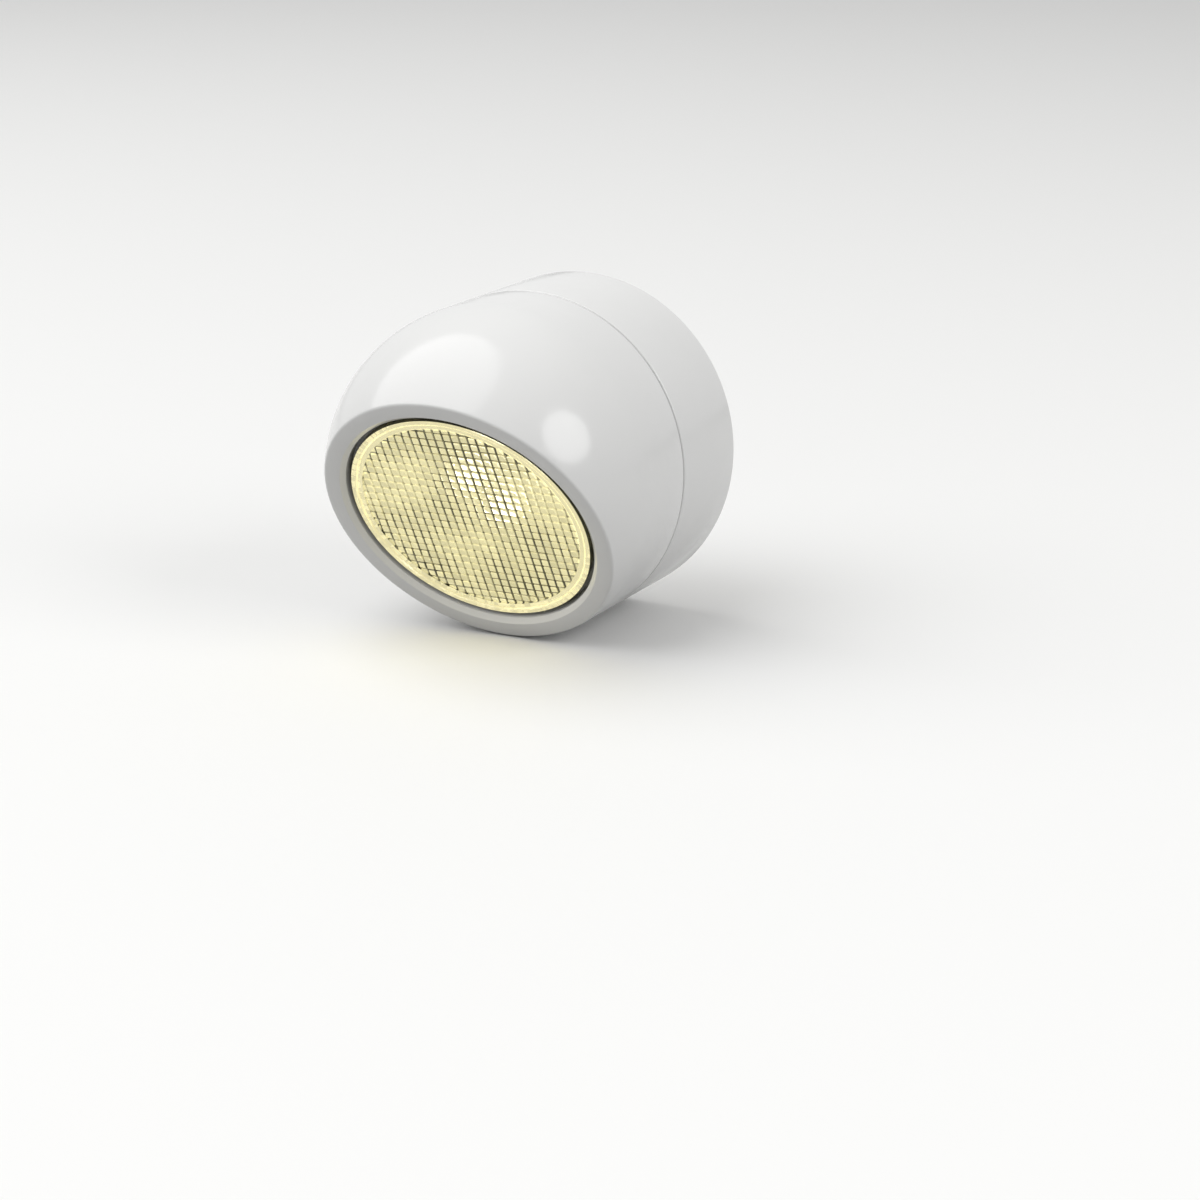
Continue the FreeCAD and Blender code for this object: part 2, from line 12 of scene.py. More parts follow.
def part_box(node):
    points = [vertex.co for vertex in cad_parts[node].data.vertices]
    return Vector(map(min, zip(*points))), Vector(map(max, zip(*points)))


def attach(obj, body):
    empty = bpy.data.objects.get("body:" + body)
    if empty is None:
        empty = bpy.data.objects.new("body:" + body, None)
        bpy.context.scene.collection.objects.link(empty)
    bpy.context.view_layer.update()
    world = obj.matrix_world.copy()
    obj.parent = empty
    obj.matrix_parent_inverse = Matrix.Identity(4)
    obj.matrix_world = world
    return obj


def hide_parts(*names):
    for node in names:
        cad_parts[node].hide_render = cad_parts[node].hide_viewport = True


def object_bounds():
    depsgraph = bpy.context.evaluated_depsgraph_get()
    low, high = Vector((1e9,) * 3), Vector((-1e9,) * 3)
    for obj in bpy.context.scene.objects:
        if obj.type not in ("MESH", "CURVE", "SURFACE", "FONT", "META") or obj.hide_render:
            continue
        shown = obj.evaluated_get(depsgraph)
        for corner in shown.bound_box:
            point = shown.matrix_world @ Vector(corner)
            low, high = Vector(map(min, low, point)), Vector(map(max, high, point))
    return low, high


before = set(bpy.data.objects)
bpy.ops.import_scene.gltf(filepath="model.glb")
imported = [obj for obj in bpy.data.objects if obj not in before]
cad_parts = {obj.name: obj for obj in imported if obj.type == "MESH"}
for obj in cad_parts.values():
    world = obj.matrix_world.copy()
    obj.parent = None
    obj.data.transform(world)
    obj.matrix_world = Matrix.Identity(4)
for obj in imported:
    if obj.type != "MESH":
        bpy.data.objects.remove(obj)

cad_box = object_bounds()
scene = bpy.context.scene
mm = 0.001


# Camera: a 92.5 mm lens on a frame 36 mm wide, to the right of the night light and above it, looking down
# by about 16 degrees. It is held upright, so its right-hand side is nearly level.
camera_place = Vector((0.16871, -0.33113, 0.08734))
camera_right = Vector((0.89337, 0.44931, -0.00167))
camera_ahead = Vector((-0.43163, 0.85717, -0.28098))
camera_data = bpy.data.cameras.new("camera")
camera_data.sensor_fit = "HORIZONTAL"
camera_data.sensor_width = 36.0
camera_data.lens = 92.5
camera_data.clip_start = 10 * mm
camera = bpy.data.objects.new("camera", camera_data)
camera_up = camera_right.cross(camera_ahead).normalized()
camera_turn = Matrix((camera_right, camera_up, -camera_ahead)).transposed().to_4x4()
camera.matrix_world = Matrix.Translation(camera_place) @ camera_turn
scene.collection.objects.link(camera)
scene.camera = camera


# Floor: a pale matt studio board just under the night light, which lies on it as a round body would.
# It is looked at pale, and throws its light back as a mid grey, so that the underside keeps its shade.
floor_drop = 0.2 * mm
floor_size = 6.0
floor_pale = (0.90, 0.90, 0.89)
floor_grey = (0.36, 0.36, 0.36)
floor_roughness = 0.7
floor_bm = bmesh.new()
bmesh.ops.create_grid(floor_bm, x_segments=4, y_segments=4, size=floor_size / 2)
bmesh.ops.translate(floor_bm, verts=floor_bm.verts, vec=(0, 0, cad_box[0][2] - floor_drop))
floor_mesh = bpy.data.meshes.new("floor")
floor_bm.to_mesh(floor_mesh)
floor_bm.free()
floor = bpy.data.objects.new("floor", floor_mesh)
scene.collection.objects.link(floor)


def feed(tree, node, sockets):
    """Puts a number, a colour, a vector or another node's output at each of the sockets named."""
    for name, value in sockets.items():
        socket = node.inputs[name]
        if isinstance(value, bpy.types.NodeSocket):
            tree.links.new(value, socket)
        elif socket.type == "RGBA":
            socket.default_value = (*value, 1)
        else:
            socket.default_value = value


def add_node(tree, kind, sockets, **settings):
    """Adds a shader node, with its settings and what goes into its sockets."""
    node = tree.nodes.new("ShaderNode" + kind)
    for setting, value in settings.items():
        setattr(node, setting, value)
    feed(tree, node, sockets)
    return node


def blend(tree, mask, first, second):
    """A colour that goes from the first to the second as the mask goes from 0 to 1."""
    mix = add_node(tree, "Mix", {"Factor": mask, "A": first, "B": second}, data_type="RGBA")
    return mix.outputs["Result"]


def new_paint(name):
    """A new material, its node tree and its shader."""
    paint = bpy.data.materials.new(name)
    paint.use_nodes = True
    return paint, paint.node_tree, paint.node_tree.nodes["Principled BSDF"]


def looked_at(tree):
    """1 where a surface is looked at, straight, in gloss or through glass, and 0 where it only lights."""
    ray = add_node(tree, "LightPath", {})
    seen = ray.outputs["Is Camera Ray"]
    for way in ("Is Glossy Ray", "Is Transmission Ray"):
        seen = add_node(tree, "Math", {0: seen, 1: ray.outputs[way]}, operation="MAXIMUM").outputs[0]
    return seen


floor_board, floor_tree, floor_shader = new_paint("floor_board")
floor_tone = blend(floor_tree, looked_at(floor_tree), floor_grey, floor_pale)
feed(floor_tree, floor_shader, {"Base Color": floor_tone, "Roughness": floor_roughness})
floor_mesh.materials.append(floor_board)


# Studio light: an even white surround, a wide soft box high on the left and a small one on the right that
# shows as a round spot on the head. The surround lights at under half the strength that it is seen at.
surround_lights, surround_seen = 0.40, 0.86
light_aim = Vector((0, -22 * mm, 0))
scene.view_settings.view_transform = "Standard"
surround = bpy.data.worlds.new("surround")
surround.use_nodes = True
surround_tree = surround.node_tree
surround_level = add_node(surround_tree, "MapRange", {
    "Value": looked_at(surround_tree), "To Min": surround_lights, "To Max": surround_seen,
})
feed(surround_tree, surround_tree.nodes["Background"], {
    "Color": (1, 1, 1), "Strength": surround_level.outputs["Result"],
})
scene.world = surround


def soft_box(name, direction, distance, diameter, radiance):
    """A round soft box that faces the night light, with its brightness as a plain radiance."""
    data = bpy.data.lights.new(name, "AREA")
    data.shape = "DISK"
    data.size = diameter
    area = math.pi * diameter ** 2 / 4
    data.energy = radiance * math.pi * area
    box = bpy.data.objects.new(name, data)
    way = Vector(direction).normalized()
    box.location = light_aim + way * distance
    box.rotation_euler = way.to_track_quat("Z", "Y").to_euler()
    scene.collection.objects.link(box)


soft_box("right_box", direction=(0.859, -0.114, 0.499), distance=0.8, diameter=0.46, radiance=4.0)
soft_box("left_box", direction=(-0.505, -0.297, 0.81), distance=0.9, diameter=1.4, radiance=1.65)


# Base ring: the fixed white collar at the rear, moulded in gloss ABS, with a softly rounded rear edge.
# Its front wall carries the head's hub. Its rear is stepped for the cover, which two screws hold.
body_radius = 20.25 * mm
wall_thickness = 1.8 * mm
inner_radius = body_radius - wall_thickness
step_radius = inner_radius + 0.6 * mm
base_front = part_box("base_shell")[0][1]
cover_depth = 2.0 * mm
front_wall = 2.5 * mm
hub_hole_radius = 4.05 * mm
rear_round = 0.5 * mm
seam_round = 0.2 * mm
turned_steps = 256
weld = 0.001 * mm
near = 0.002 * mm
loosely_near = 0.01 * mm


def turn(bm, points, axis, closed=False):
    """Spins a line of points about an axis through the origin, into a skin."""
    corners = [bm.verts.new(point) for point in points]
    edges = [bm.edges.new(pair) for pair in zip(corners, corners[1:])]
    if closed:
        edges.append(bm.edges.new((corners[-1], corners[0])))
    bmesh.ops.spin(
        bm, geom=corners + edges, cent=(0, 0, 0), axis=axis, angle=math.tau, steps=turned_steps,
        use_merge=True,
    )
    bmesh.ops.remove_doubles(bm, verts=bm.verts, dist=weld)


def round_edge(bm, y, size, segments):
    """Rounds the body's outer edge at a place along the plug's axis."""
    edges = [
        e for e in bm.edges
        if all(
            abs(v.co.y - y) < near and math.hypot(v.co.x, v.co.z) > body_radius - loosely_near
            for v in e.verts
        )
    ]
    bmesh.ops.bevel(
        bm, geom=edges, offset=size, segments=segments, profile=0.5, affect="EDGES", material=-1,
    )


def finish_mesh(bm, name, smooth_angle):
    """Writes a mesh to an object, smooth where its faces meet at no more than an angle in degrees."""
    bmesh.ops.recalc_face_normals(bm, faces=bm.faces)
    mesh = bpy.data.meshes.new(name)
    bm.to_mesh(mesh)
    bm.free()
    mesh.shade_smooth()
    mesh.set_sharp_from_angle(angle=math.radians(smooth_angle))
    piece = bpy.data.objects.new(name, mesh)
    scene.collection.objects.link(piece)
    return piece


def new_group(name, inputs, outputs):
    """An empty shader group with named inputs and outputs, its input node and its output node."""
    group = bpy.data.node_groups.new(name, "ShaderNodeTree")
    for socket, kind, value in inputs:
        group.interface.new_socket(socket, in_out="INPUT", socket_type=kind).default_value = value
    for socket in outputs:
        group.interface.new_socket(socket, in_out="OUTPUT", socket_type="NodeSocketFloat")
    return group, group.nodes.new("NodeGroupInput"), group.nodes.new("NodeGroupOutput")


moulded_skin, skin_in, skin_out = new_group(
    "moulded_skin",
    [("Cloud Scale", "NodeSocketFloat", 90.0), ("Peel Scale", "NodeSocketFloat", 900.0)],
    ["Cloud", "Wear", "Peel"],
)
skin_place = add_node(moulded_skin, "TexCoord", {})
for mask, scale_of, times, detail in (
    ("Cloud", "Cloud Scale", 1.0, 3.0), ("Wear", "Cloud Scale", 3.7, 6.0), ("Peel", "Peel Scale", 1.0, 2.0),
):
    scale = add_node(moulded_skin, "Math", {0: skin_in.outputs[scale_of], 1: times}, operation="MULTIPLY")
    noise = add_node(moulded_skin, "TexNoise", {
        "Vector": skin_place.outputs["Object"], "Scale": scale.outputs[0], "Detail": detail,
    })
    feed(moulded_skin, skin_out, {mask: noise.outputs["Fac"]})
worn_from, worn_to = 0.3, 0.7
peel_depth = 0.02 * mm


def moulded_plastic(name, dark, light, gloss, peel, cloud_scale=90.0, peel_scale=900.0):
    """A plastic whose tone and gloss drift slightly, with a fine orange peel from its mould."""
    paint, tree, shader = new_paint(name)
    skin = add_node(
        tree, "Group", {"Cloud Scale": cloud_scale, "Peel Scale": peel_scale}, node_tree=moulded_skin,
    )
    rough = add_node(tree, "MapRange", {
        "Value": skin.outputs["Wear"], "From Min": worn_from, "From Max": worn_to,
        "To Min": gloss[0], "To Max": gloss[1],
    })
    bump = add_node(tree, "Bump", {
        "Height": skin.outputs["Peel"], "Strength": peel, "Distance": peel_depth,
    })
    feed(tree, shader, {
        "Base Color": blend(tree, skin.outputs["Cloud"], dark, light),
        "Roughness": rough.outputs["Result"],
        "Normal": bump.outputs["Normal"],
    })
    return paint


gloss_white = moulded_plastic(
    "gloss_white", dark=(0.77, 0.77, 0.76), light=(0.81, 0.81, 0.80), gloss=(0.13, 0.19), peel=0.25,
)
base_bm = bmesh.new()
turn(base_bm, [
    (body_radius, 0, 0), (body_radius, base_front, 0), (hub_hole_radius, base_front, 0),
    (hub_hole_radius, base_front + front_wall, 0), (inner_radius, base_front + front_wall, 0),
    (inner_radius, -cover_depth, 0), (step_radius, -cover_depth, 0), (step_radius, 0, 0),
], axis=(0, 1, 0), closed=True)
round_edge(base_bm, 0, rear_round, segments=5)
round_edge(base_bm, base_front, seam_round, segments=5)
base_ring = finish_mesh(base_bm, "base_ring", smooth_angle=25)
base_ring.data.materials.append(gloss_white)
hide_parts("base_shell")
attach(base_ring, "base")


# Rear cover, head plate and reflector: satin white mouldings with a finer, duller skin than the shells.
# The cover closes the base, the plate closes the head and carries its hub, and the reflector backs the lens.
satin_white = moulded_plastic(
    "satin_white", dark=(0.74, 0.74, 0.72), light=(0.79, 0.79, 0.77), gloss=(0.38, 0.48), peel=0.6,
    cloud_scale=120.0, peel_scale=2400.0,
)


def dress(node, paint):
    """Gives a carried-over piece its own finish."""
    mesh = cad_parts[node].data
    mesh.materials.clear()
    mesh.materials.append(paint)


for node in ("rear_cover", "head_plate", "reflector"):
    dress(node, satin_white)


# Blades: two flat strips of brass, stamped, drawn smooth along their length and plated with nickel.
# Their inner ends are trapped in the insulating block inside the base.
brushed_grain, grain_in, grain_out = new_group(
    "brushed_grain",
    [("Stretch", "NodeSocketVector", (1.0, 1.0, 1.0)), ("Line Scale", "NodeSocketFloat", 1500.0)],
    ["Grain"],
)
grain_place = add_node(brushed_grain, "TexCoord", {})
drawn = add_node(brushed_grain, "Mapping", {
    "Vector": grain_place.outputs["Object"], "Scale": grain_in.outputs["Stretch"],
})
drawn_lines = add_node(brushed_grain, "TexNoise", {
    "Vector": drawn.outputs["Vector"], "Scale": grain_in.outputs["Line Scale"], "Detail": 5.0,
})
feed(brushed_grain, grain_out, {"Grain": drawn_lines.outputs["Fac"]})
line_strength = 0.25
line_depth = 0.01 * mm


def brushed_metal(name, dark, light, gloss, stretch, line_scale):
    """A metal with fine drawn lines, which run along an axis whose stretch is small."""
    paint, tree, shader = new_paint(name)
    lines = add_node(
        tree, "Group", {"Stretch": stretch, "Line Scale": line_scale}, node_tree=brushed_grain,
    ).outputs["Grain"]
    rough = add_node(tree, "MapRange", {"Value": lines, "To Min": gloss[0], "To Max": gloss[1]})
    bump = add_node(tree, "Bump", {"Height": lines, "Strength": line_strength, "Distance": line_depth})
    feed(tree, shader, {
        "Base Color": blend(tree, lines, dark, light),
        "Metallic": 1.0,
        "Roughness": rough.outputs["Result"],
        "Normal": bump.outputs["Normal"],
    })
    return paint


plated_brass = brushed_metal(
    "plated_brass", dark=(0.62, 0.58, 0.50), light=(0.80, 0.77, 0.70), gloss=(0.18, 0.34),
    stretch=(1, 0.04, 1), line_scale=2200.0,
)
for node in ("neutral_blade", "hot_blade"):
    dress(node, plated_brass)


# Screws: small cross-headed steel screws, plated with zinc. Two hold the rear cover on the base, three hold
# the head plate in the head, and three hold the lamp board.
zinc = brushed_metal(
    "zinc_plate", dark=(0.50, 0.50, 0.49), light=(0.68, 0.68, 0.66), gloss=(0.25, 0.42),
    stretch=(1, 1, 1), line_scale=1500.0,
)
for node in ("cover_screws", "plate_screws", "led_board_screws"):
    dress(node, zinc)


# Retaining ring: the dark clip of spring steel that snaps into the hub's groove and keeps the head on
# the base. It is stamped and left with its heat-treated grey.
spring_steel = brushed_metal(
    "spring_steel", dark=(0.20, 0.20, 0.21), light=(0.34, 0.34, 0.35), gloss=(0.30, 0.45),
    stretch=(1, 1, 1), line_scale=1200.0,
)
dress("retaining_ring", spring_steel)


# Blade carrier: the black block of heat-proof moulded plastic that traps the blades and keeps them apart.
# It lies between the rear cover and the driver board.
def dress_small(node, dark, light, gloss):
    """Gives a small moulded, lacquered or sleeved part a finish with a fine grain, and returns it."""
    paint = moulded_plastic(
        node + "_finish", dark, light, gloss, peel=0.4, cloud_scale=300.0, peel_scale=2500.0,
    )
    dress(node, paint)
    return paint


dress_small("blade_carrier", dark=(0.045, 0.045, 0.05), light=(0.07, 0.07, 0.075), gloss=(0.4, 0.5))


# Boards: glass-epoxy circuit boards. The driver's is lacquered green, and the lamps' is white so that it
# throws their light forward.
dress_small("driver_board", dark=(0.03, 0.19, 0.09), light=(0.05, 0.26, 0.13), gloss=(0.25, 0.4))
dress_small("led_board", dark=(0.80, 0.80, 0.78), light=(0.88, 0.88, 0.86), gloss=(0.3, 0.4))


# Capacitors: the electrolytic is an aluminium can in a dark shrunk sleeve, and the film one a block dipped
# in mustard epoxy. Both are soldered to the driver board.
dress_small("electrolytic_capacitor", dark=(0.02, 0.025, 0.04), light=(0.04, 0.045, 0.07), gloss=(0.2, 0.3))
dress_small("film_capacitor", dark=(0.62, 0.42, 0.06), light=(0.74, 0.52, 0.10), gloss=(0.25, 0.35))


# Rectifier, driver chip and the lamps' chip resistors: small surface-mounted packages, moulded in matt
# black epoxy, or on the resistors glazed.
for node in ("bridge_rectifier", "driver_chip"):
    dress_small(node, dark=(0.03, 0.03, 0.032), light=(0.05, 0.05, 0.052), gloss=(0.45, 0.6))
dress_small("led_resistors", dark=(0.03, 0.03, 0.032), light=(0.06, 0.06, 0.062), gloss=(0.4, 0.5))


# Wire-ended resistors: ceramic rods under baked lacquer, the fusible one grey green and the bleed one blue,
# laid along the driver board.
dress_small("fusible_resistor", dark=(0.28, 0.35, 0.29), light=(0.36, 0.44, 0.37), gloss=(0.4, 0.5))
dress_small("bleed_resistor", dark=(0.14, 0.34, 0.54), light=(0.20, 0.44, 0.64), gloss=(0.3, 0.4))


# Friction washer: the thin ring of grey plastic squeezed between the base's front wall and the head plate.
# Its drag holds the head where it is turned.
dress_small("friction_washer", dark=(0.26, 0.26, 0.26), light=(0.33, 0.33, 0.33), gloss=(0.4, 0.5))


# Leads: two tinned wires sleeved in red and in black plastic, which pass through the hollow hub from the
# driver board to the lamps.
dress_small("positive_lead", dark=(0.50, 0.03, 0.02), light=(0.62, 0.05, 0.04), gloss=(0.35, 0.45))
dress_small("negative_lead", dark=(0.02, 0.02, 0.02), light=(0.04, 0.04, 0.04), gloss=(0.35, 0.45))


# Lamps: two light-emitting diodes, each a chip under yellow phosphor in a small flat package, soldered to
# the white board. They shine nearly white; the lens's cream tint turns their light to cream, and its painted
# glow adds more cream.
lamp_light = (1.0, 0.97, 0.92)
lamp_strength = 82.0
lamp_paint = dress_small("leds", dark=(0.80, 0.60, 0.10), light=(0.92, 0.74, 0.16), gloss=(0.2, 0.3))
feed(lamp_paint.node_tree, lamp_paint.node_tree.nodes["Principled BSDF"], {
    "Emission Color": lamp_light, "Emission Strength": lamp_strength,
})


# Head shell: the bullet-shaped moulding in gloss white ABS, cut by the tilted face, whose flat rim runs
# round a sunk opening. It is hollow for the lamps, with a seat for the lens and a step for the head plate.
head_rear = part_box("head_shell")[1][1]
dome_y = -22.75 * mm
nose_steps = 64
cut_give = 1e-7
face_tilt = math.radians(30)
face_height = 8.71 * mm
face_radius = math.sqrt(body_radius ** 2 - face_height ** 2)
rim_width = 1.93 * mm
rim_round = 0.38 * mm
round_steps = 6
mouth_chamfer = 0.58 * mm
mouth_round = 0.08 * mm
mouth_weld = 0.12 * mm
opening_radius = face_radius - rim_width - mouth_chamfer
mouth_radius = opening_radius + mouth_chamfer
seat_height = 6.4 * mm
shelf_radius = opening_radius - 1.3 * mm
shelf_height = 5.0 * mm
rear_step_depth = 2.4 * mm
face_way = Vector((0, -math.cos(face_tilt), -math.sin(face_tilt)))
face_up = Vector((0, -math.sin(face_tilt), math.cos(face_tilt)))
dome_centre = Vector((0, dome_y, 0))
to_face = Matrix.Translation(dome_centre) @ Matrix(
    (Vector((1, 0, 0)), face_up, face_way)
).transposed().to_4x4()


def open_edges(bm, test=lambda point: True):
    """The open edges whose two ends both pass a test."""
    return [e for e in bm.edges if e.is_boundary and all(test(v.co) for v in e.verts)]


def at_height(height, give):
    """A test of whether a point lies in a plane parallel to the face, give or take a little."""
    return lambda point: abs((point - dome_centre).dot(face_way) - height) < give


def bullet_skin(radius, rear_y, cut_height):
    """A round-nosed tube, open at the rear and cut off by a plane parallel to the face."""
    bm = bmesh.new()
    profile = [(radius, rear_y, 0), (radius, (rear_y + dome_y) / 2, 0), (radius, dome_y, 0)]
    for n in range(1, nose_steps):
        angle = math.pi / 2 * n / nose_steps
        profile.append((radius * math.cos(angle), dome_y - radius * math.sin(angle), 0))
    profile.append((0, dome_y - radius, 0))
    turn(bm, profile, axis=(0, 1, 0))
    bmesh.ops.bisect_plane(
        bm, geom=bm.verts[:] + bm.edges[:] + bm.faces[:], dist=cut_give,
        plane_co=dome_centre + face_way * cut_height, plane_no=face_way, clear_outer=True,
    )
    mouth = open_edges(bm, at_height(cut_height, near))
    mouth_corners = list(dict.fromkeys(v for e in mouth for v in e.verts))
    bmesh.ops.remove_doubles(bm, verts=mouth_corners, dist=mouth_weld)
    return bm


def pull(bm, edges, place):
    """Extrudes a loop, moves each new corner to the place worked out for it, and gives the new loop."""
    new = bmesh.ops.extrude_edge_only(bm, edges=edges)["geom"]
    for v in (g for g in new if isinstance(g, bmesh.types.BMVert)):
        v.co = place(v.co)
    return [g for g in new if isinstance(g, bmesh.types.BMEdge) and g.is_boundary]


def to_circle(radius, height):
    """Places a point on a circle about the face's axis."""
    def place(point):
        local = to_face.inverted() @ point
        flat = Vector((local.x, local.y)).normalized() * radius
        return to_face @ Vector((flat.x, flat.y, height))
    return place


def drawn_in(inset, height):
    """Places a point nearer to the face's axis by an inset."""
    def place(point):
        local = to_face.inverted() @ point
        flat = Vector((local.x, local.y))
        flat *= (flat.length - inset) / flat.length
        return to_face @ Vector((flat.x, flat.y, height))
    return place


def to_rear_circle(radius, y):
    """Places a point on a circle about the plug's axis."""
    def place(point):
        flat = Vector((point.x, point.z)).normalized() * radius
        return Vector((flat.x, y, flat.y))
    return place


def join(bm, other):
    """Adds another bmesh to this one and frees it."""
    carried = bpy.data.meshes.new("carried")
    other.to_mesh(carried)
    other.free()
    bm.from_mesh(carried)
    bpy.data.meshes.remove(carried)


round_height = face_height - rim_round
round_radius = math.sqrt((body_radius - rim_round) ** 2 - round_height ** 2)
round_start = math.atan2(round_height, round_radius)


def round_at(n):
    """How far out the rim's round stands after n steps, and its height along the face's axis."""
    angle = round_start + (math.pi / 2 - round_start) * n / round_steps
    return rim_round * math.cos(angle), round_height + rim_round * math.sin(angle)


last_out, cut_height = round_at(0)
head_bm = bullet_skin(body_radius, head_rear, cut_height)
rim_edges = open_edges(head_bm, at_height(cut_height, near))
for n in range(1, round_steps + 1):
    out, height = round_at(n)
    rim_edges = pull(head_bm, rim_edges, drawn_in(last_out - out, height))
    last_out = out
for radius, height in (
    (mouth_radius + mouth_round, face_height),
    (mouth_radius - mouth_round / 2, face_height - mouth_round / 2),
    (opening_radius, face_height - mouth_chamfer),
    (opening_radius, seat_height),
    (shelf_radius, seat_height),
    (shelf_radius, shelf_height),
):
    rim_edges = pull(head_bm, rim_edges, to_circle(radius, height))
join(head_bm, bullet_skin(inner_radius, head_rear - rear_step_depth, shelf_height))
shelf_loops = open_edges(head_bm, at_height(shelf_height, loosely_near))
bmesh.ops.triangle_fill(head_bm, edges=shelf_loops, use_beauty=True, normal=face_way)
rear_edges = open_edges(head_bm, lambda point: abs(point.y - head_rear) < loosely_near)
for y in (head_rear, head_rear - rear_step_depth):
    rear_edges = pull(head_bm, rear_edges, to_rear_circle(step_radius, y))
bmesh.ops.triangle_fill(head_bm, edges=open_edges(head_bm), use_beauty=True, normal=(0, 1, 0))
bmesh.ops.remove_doubles(head_bm, verts=head_bm.verts, dist=weld)
bmesh.ops.recalc_face_normals(head_bm, faces=head_bm.faces)
round_edge(head_bm, head_rear, seam_round, segments=4)
head_body = finish_mesh(head_bm, "head_body", smooth_angle=25)
head_body.data.materials.append(gloss_white)
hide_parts("head_shell")
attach(head_body, "head")


# Prism lens: one moulding in clear cream acrylic over the lamps, with a smooth raised edge, a fine groove
# and a field of small square pillow prisms in rows across and up the face. Its flange drops on the shell's
# seat.
lens_radius = opening_radius - 0.55 * mm
lens_front = face_height - 0.7 * mm
lens_back = lens_front - 1.55 * mm
flange_radius = opening_radius - 0.1 * mm
flange_front = seat_height + 0.7 * mm
plug_radius = shelf_radius - 0.1 * mm
edge_inner = lens_radius - 0.65 * mm
edge_round, edge_corner = 0.18 * mm, 0.05 * mm
step_round, step_drop = 0.12 * mm, 0.08 * mm
groove_bottom = lens_front - 0.34 * mm
groove_floor, groove_width = edge_inner - 0.1 * mm, 0.1 * mm
border_height = lens_front - 0.2 * mm
field_floor = lens_front - 0.42 * mm
field_radius = 13.8 * mm
last_prism = field_radius - 0.05 * mm
prism_pitch = 1.09 * mm
prism_count = 2 * math.ceil(field_radius / prism_pitch)
pillow_steps = ((0.09 * mm, 0.10 * mm), (0.11 * mm, 0.06 * mm), (0.09 * mm, 0.018 * mm))
facing_front = 0.999
plate_bm = bmesh.new()
turn(plate_bm, [
    (0, 0, lens_back), (plug_radius, 0, lens_back), (plug_radius, 0, seat_height),
    (flange_radius, 0, seat_height), (flange_radius, 0, flange_front), (lens_radius, 0, flange_front),
    (lens_radius, 0, lens_front - edge_round), (lens_radius - edge_corner, 0, lens_front - edge_corner),
    (lens_radius - edge_round, 0, lens_front), (edge_inner + step_round, 0, lens_front),
    (edge_inner, 0, lens_front - step_drop), (groove_floor, 0, groove_bottom),
    (groove_floor - groove_width, 0, border_height), (field_radius, 0, border_height),
    (field_radius, 0, field_floor),
], axis=(0, 0, 1))
prism_bm = bmesh.new()
bmesh.ops.create_grid(
    prism_bm, x_segments=prism_count, y_segments=prism_count, size=prism_count * prism_pitch / 2,
)
outside = [f for f in prism_bm.faces if f.calc_center_median().length > last_prism]
bmesh.ops.delete(prism_bm, geom=outside, context="FACES")
for v in prism_bm.verts:
    if v.co.length > last_prism:
        v.co *= last_prism / v.co.length
bmesh.ops.translate(prism_bm, verts=prism_bm.verts, vec=(0, 0, field_floor))
bmesh.ops.recalc_face_normals(prism_bm, faces=prism_bm.faces)
if prism_bm.faces[:][0].normal.z < 0:
    bmesh.ops.reverse_faces(prism_bm, faces=prism_bm.faces)
for thickness, depth in pillow_steps:
    tops = [f for f in prism_bm.faces if f.normal.z > facing_front]
    bmesh.ops.inset_individual(
        prism_bm, faces=tops, thickness=thickness, depth=depth, use_even_offset=True,
    )
join(prism_bm, plate_bm)
bmesh.ops.triangle_fill(prism_bm, edges=open_edges(prism_bm), use_beauty=True)
bmesh.ops.transform(prism_bm, matrix=to_face, verts=prism_bm.verts)
prism_lens = finish_mesh(prism_bm, "prism_lens", smooth_angle=24)
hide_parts("lens")
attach(prism_lens, "head")

# Lens material. Its emission is painted glow: the lens shines cream by itself, standing in for lamp light
# spread through the acrylic, on top of the real lamp light that passes through it.
lens_painted_glow, lens_tree, lens_shader = new_paint("lens_painted_glow")
lens_place = add_node(lens_tree, "TexCoord", {})
on_face = add_node(lens_tree, "Mapping", {
    "Vector": lens_place.outputs["Object"], "Location": dome_centre,
    "Rotation": to_face.to_3x3().to_euler(),
}, vector_type="TEXTURE").outputs["Vector"]
across = add_node(lens_tree, "SeparateXYZ", {"Vector": on_face})


def reckon(operation, first, second, clamp=False):
    """The result of a sum in the lens's material, from two numbers or outputs."""
    return add_node(
        lens_tree, "Math", {0: first, 1: second}, operation=operation, use_clamp=clamp,
    ).outputs[0]


def shade_between_rows(coordinate, width):
    """1 in the furrow between two rows of prisms, falling to 0 on them: the mask of the painted shade there.
    Its width is a share of the row.
    """
    cells = reckon("DIVIDE", coordinate, prism_pitch)
    middle = reckon("MULTIPLY", reckon("PINGPONG", cells, 0.5), 2.0)
    return reckon("SUBTRACT", 1.0, reckon("DIVIDE", middle, width, clamp=True), clamp=True)
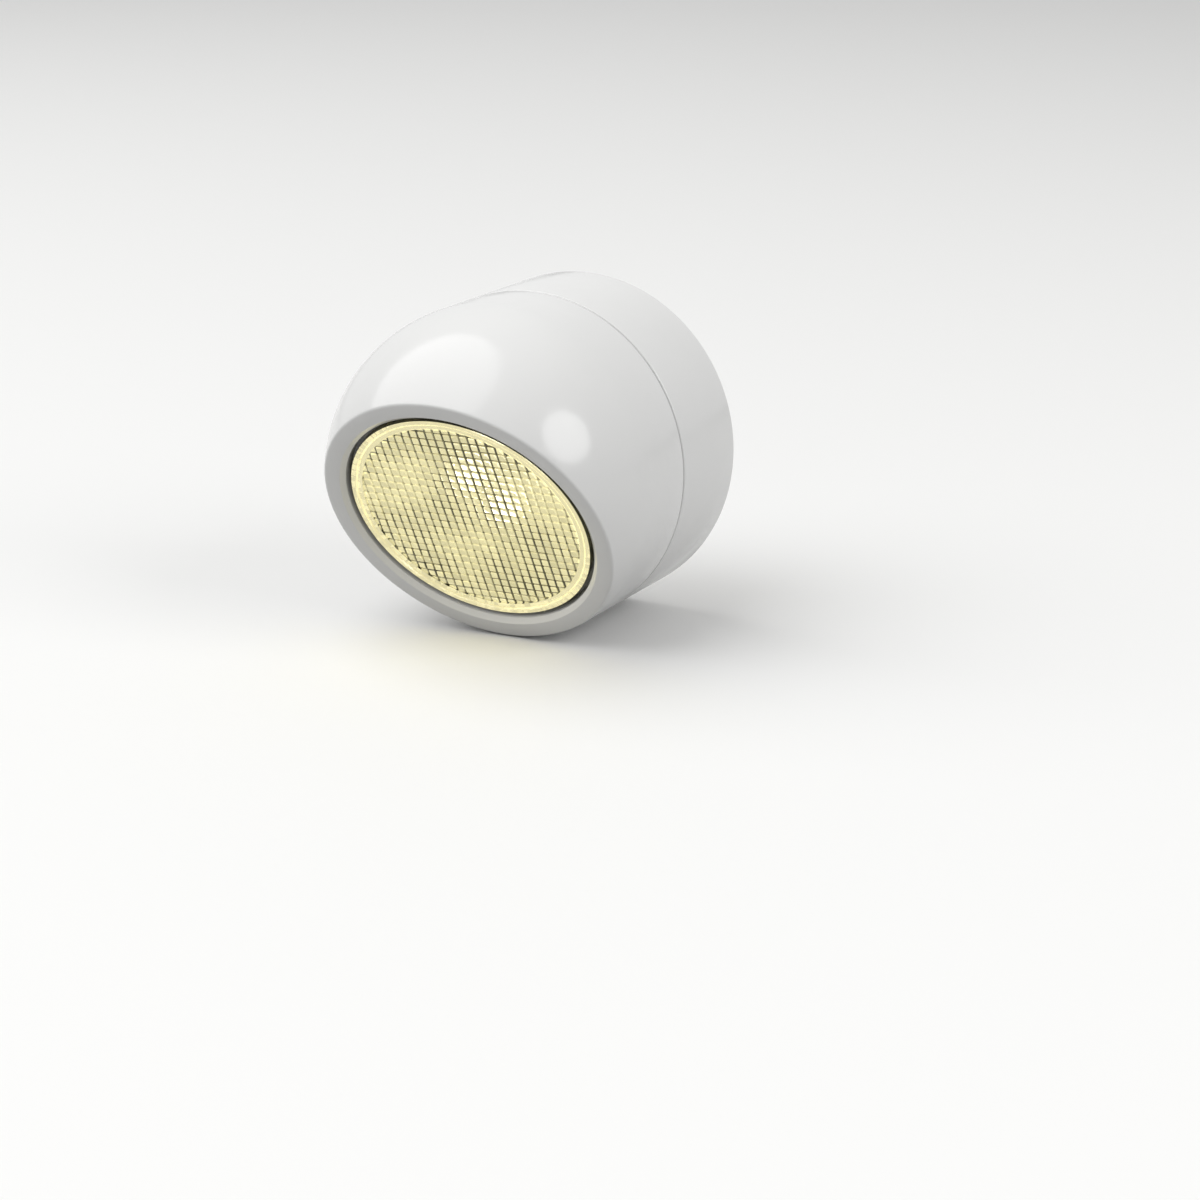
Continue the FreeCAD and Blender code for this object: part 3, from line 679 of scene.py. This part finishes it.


# Painted shade: the grooves between the prisms are darkened in colour and in glow, most where they cross,
# unevenly in broad patches and from prism to prism, in place of the shade that refraction throws there.
upright_width, upright_shade = 0.36, 0.85
level_width, level_shade = 0.30, 0.6
crossing_shade = 0.9
upright = shade_between_rows(across.outputs["X"], upright_width)
level = shade_between_rows(across.outputs["Y"], level_width)
crossing = reckon("MULTIPLY", upright, level)
dark = reckon("ADD", reckon("MULTIPLY", upright, upright_shade), reckon("MULTIPLY", level, level_shade))
dark = reckon("ADD", dark, reckon("MULTIPLY", crossing, crossing_shade), clamp=True)
flat = add_node(lens_tree, "CombineXYZ", {"X": across.outputs["X"], "Y": across.outputs["Y"]})
off_axis = add_node(
    lens_tree, "VectorMath", {0: flat.outputs["Vector"]}, operation="LENGTH",
).outputs["Value"]
in_field = reckon("LESS_THAN", off_axis, field_radius)
drift = add_node(lens_tree, "TexNoise", {"Vector": on_face, "Scale": 110.0, "Detail": 1.0})
shade_patches = add_node(lens_tree, "MapRange", {
    "Value": drift.outputs["Fac"], "From Min": 0.35, "From Max": 0.65, "To Min": 0.7, "To Max": 2.0,
}).outputs["Result"]
one_prism = add_node(
    lens_tree, "VectorMath", {0: on_face, 1: (prism_pitch, prism_pitch, 1.0)}, operation="SNAP",
).outputs["Vector"]
chance = add_node(
    lens_tree, "TexWhiteNoise", {"Vector": one_prism}, noise_dimensions="2D",
).outputs["Value"]
least_shade, shade_spread = 0.75, 0.6
dark = reckon("MULTIPLY", reckon("MULTIPLY", dark, in_field), shade_patches, clamp=True)
shade_here = reckon("ADD", least_shade, reckon("MULTIPLY", chance, shade_spread))
dark = reckon("MULTIPLY", dark, shade_here, clamp=True)
# Painted shadow: the lens's side and flange, down in the gap round it, are coloured near black and given no
# glow, in place of the gap's shade.
gap_shadow_top = flange_front + 0.2 * mm
gap_shadow_radius = lens_radius - 0.06 * mm
clear_of_gap_shadow = reckon(
    "MULTIPLY", reckon("GREATER_THAN", across.outputs["Z"], gap_shadow_top),
    reckon("LESS_THAN", off_axis, gap_shadow_radius),
)
dull_prism, bright_prism = 0.78, 1.02
gap_shadow_tone = (0.004, 0.004, 0.003)


def lens_tone(prism, groove_shade, border):
    """A colour uneven from prism to prism, painted shade in the grooves, another colour on the border, and a
    black painted shadow on the lens's side and flange, down in the gap.
    """
    prisms = blend(
        lens_tree, chance, [part * dull_prism for part in prism], [part * bright_prism for part in prism],
    )
    field = blend(lens_tree, dark, prisms, groove_shade)
    return blend(lens_tree, clear_of_gap_shadow, gap_shadow_tone, blend(lens_tree, in_field, border, field))


feed(lens_tree, lens_shader, {
    "Base Color": lens_tone(
        prism=(0.98, 0.92, 0.66), groove_shade=(0.05, 0.045, 0.02), border=(0.94, 0.88, 0.62),
    ),
    "Emission Color": lens_tone(
        prism=(1.0, 0.91, 0.47), groove_shade=(0.01, 0.009, 0.004), border=(0.96, 0.87, 0.48),
    ),
    "Emission Strength": 0.60,
    "Transmission Weight": 0.75,
    "IOR": 1.5,
    "Roughness": 0.035,
})
prism_lens.data.materials.append(lens_painted_glow)
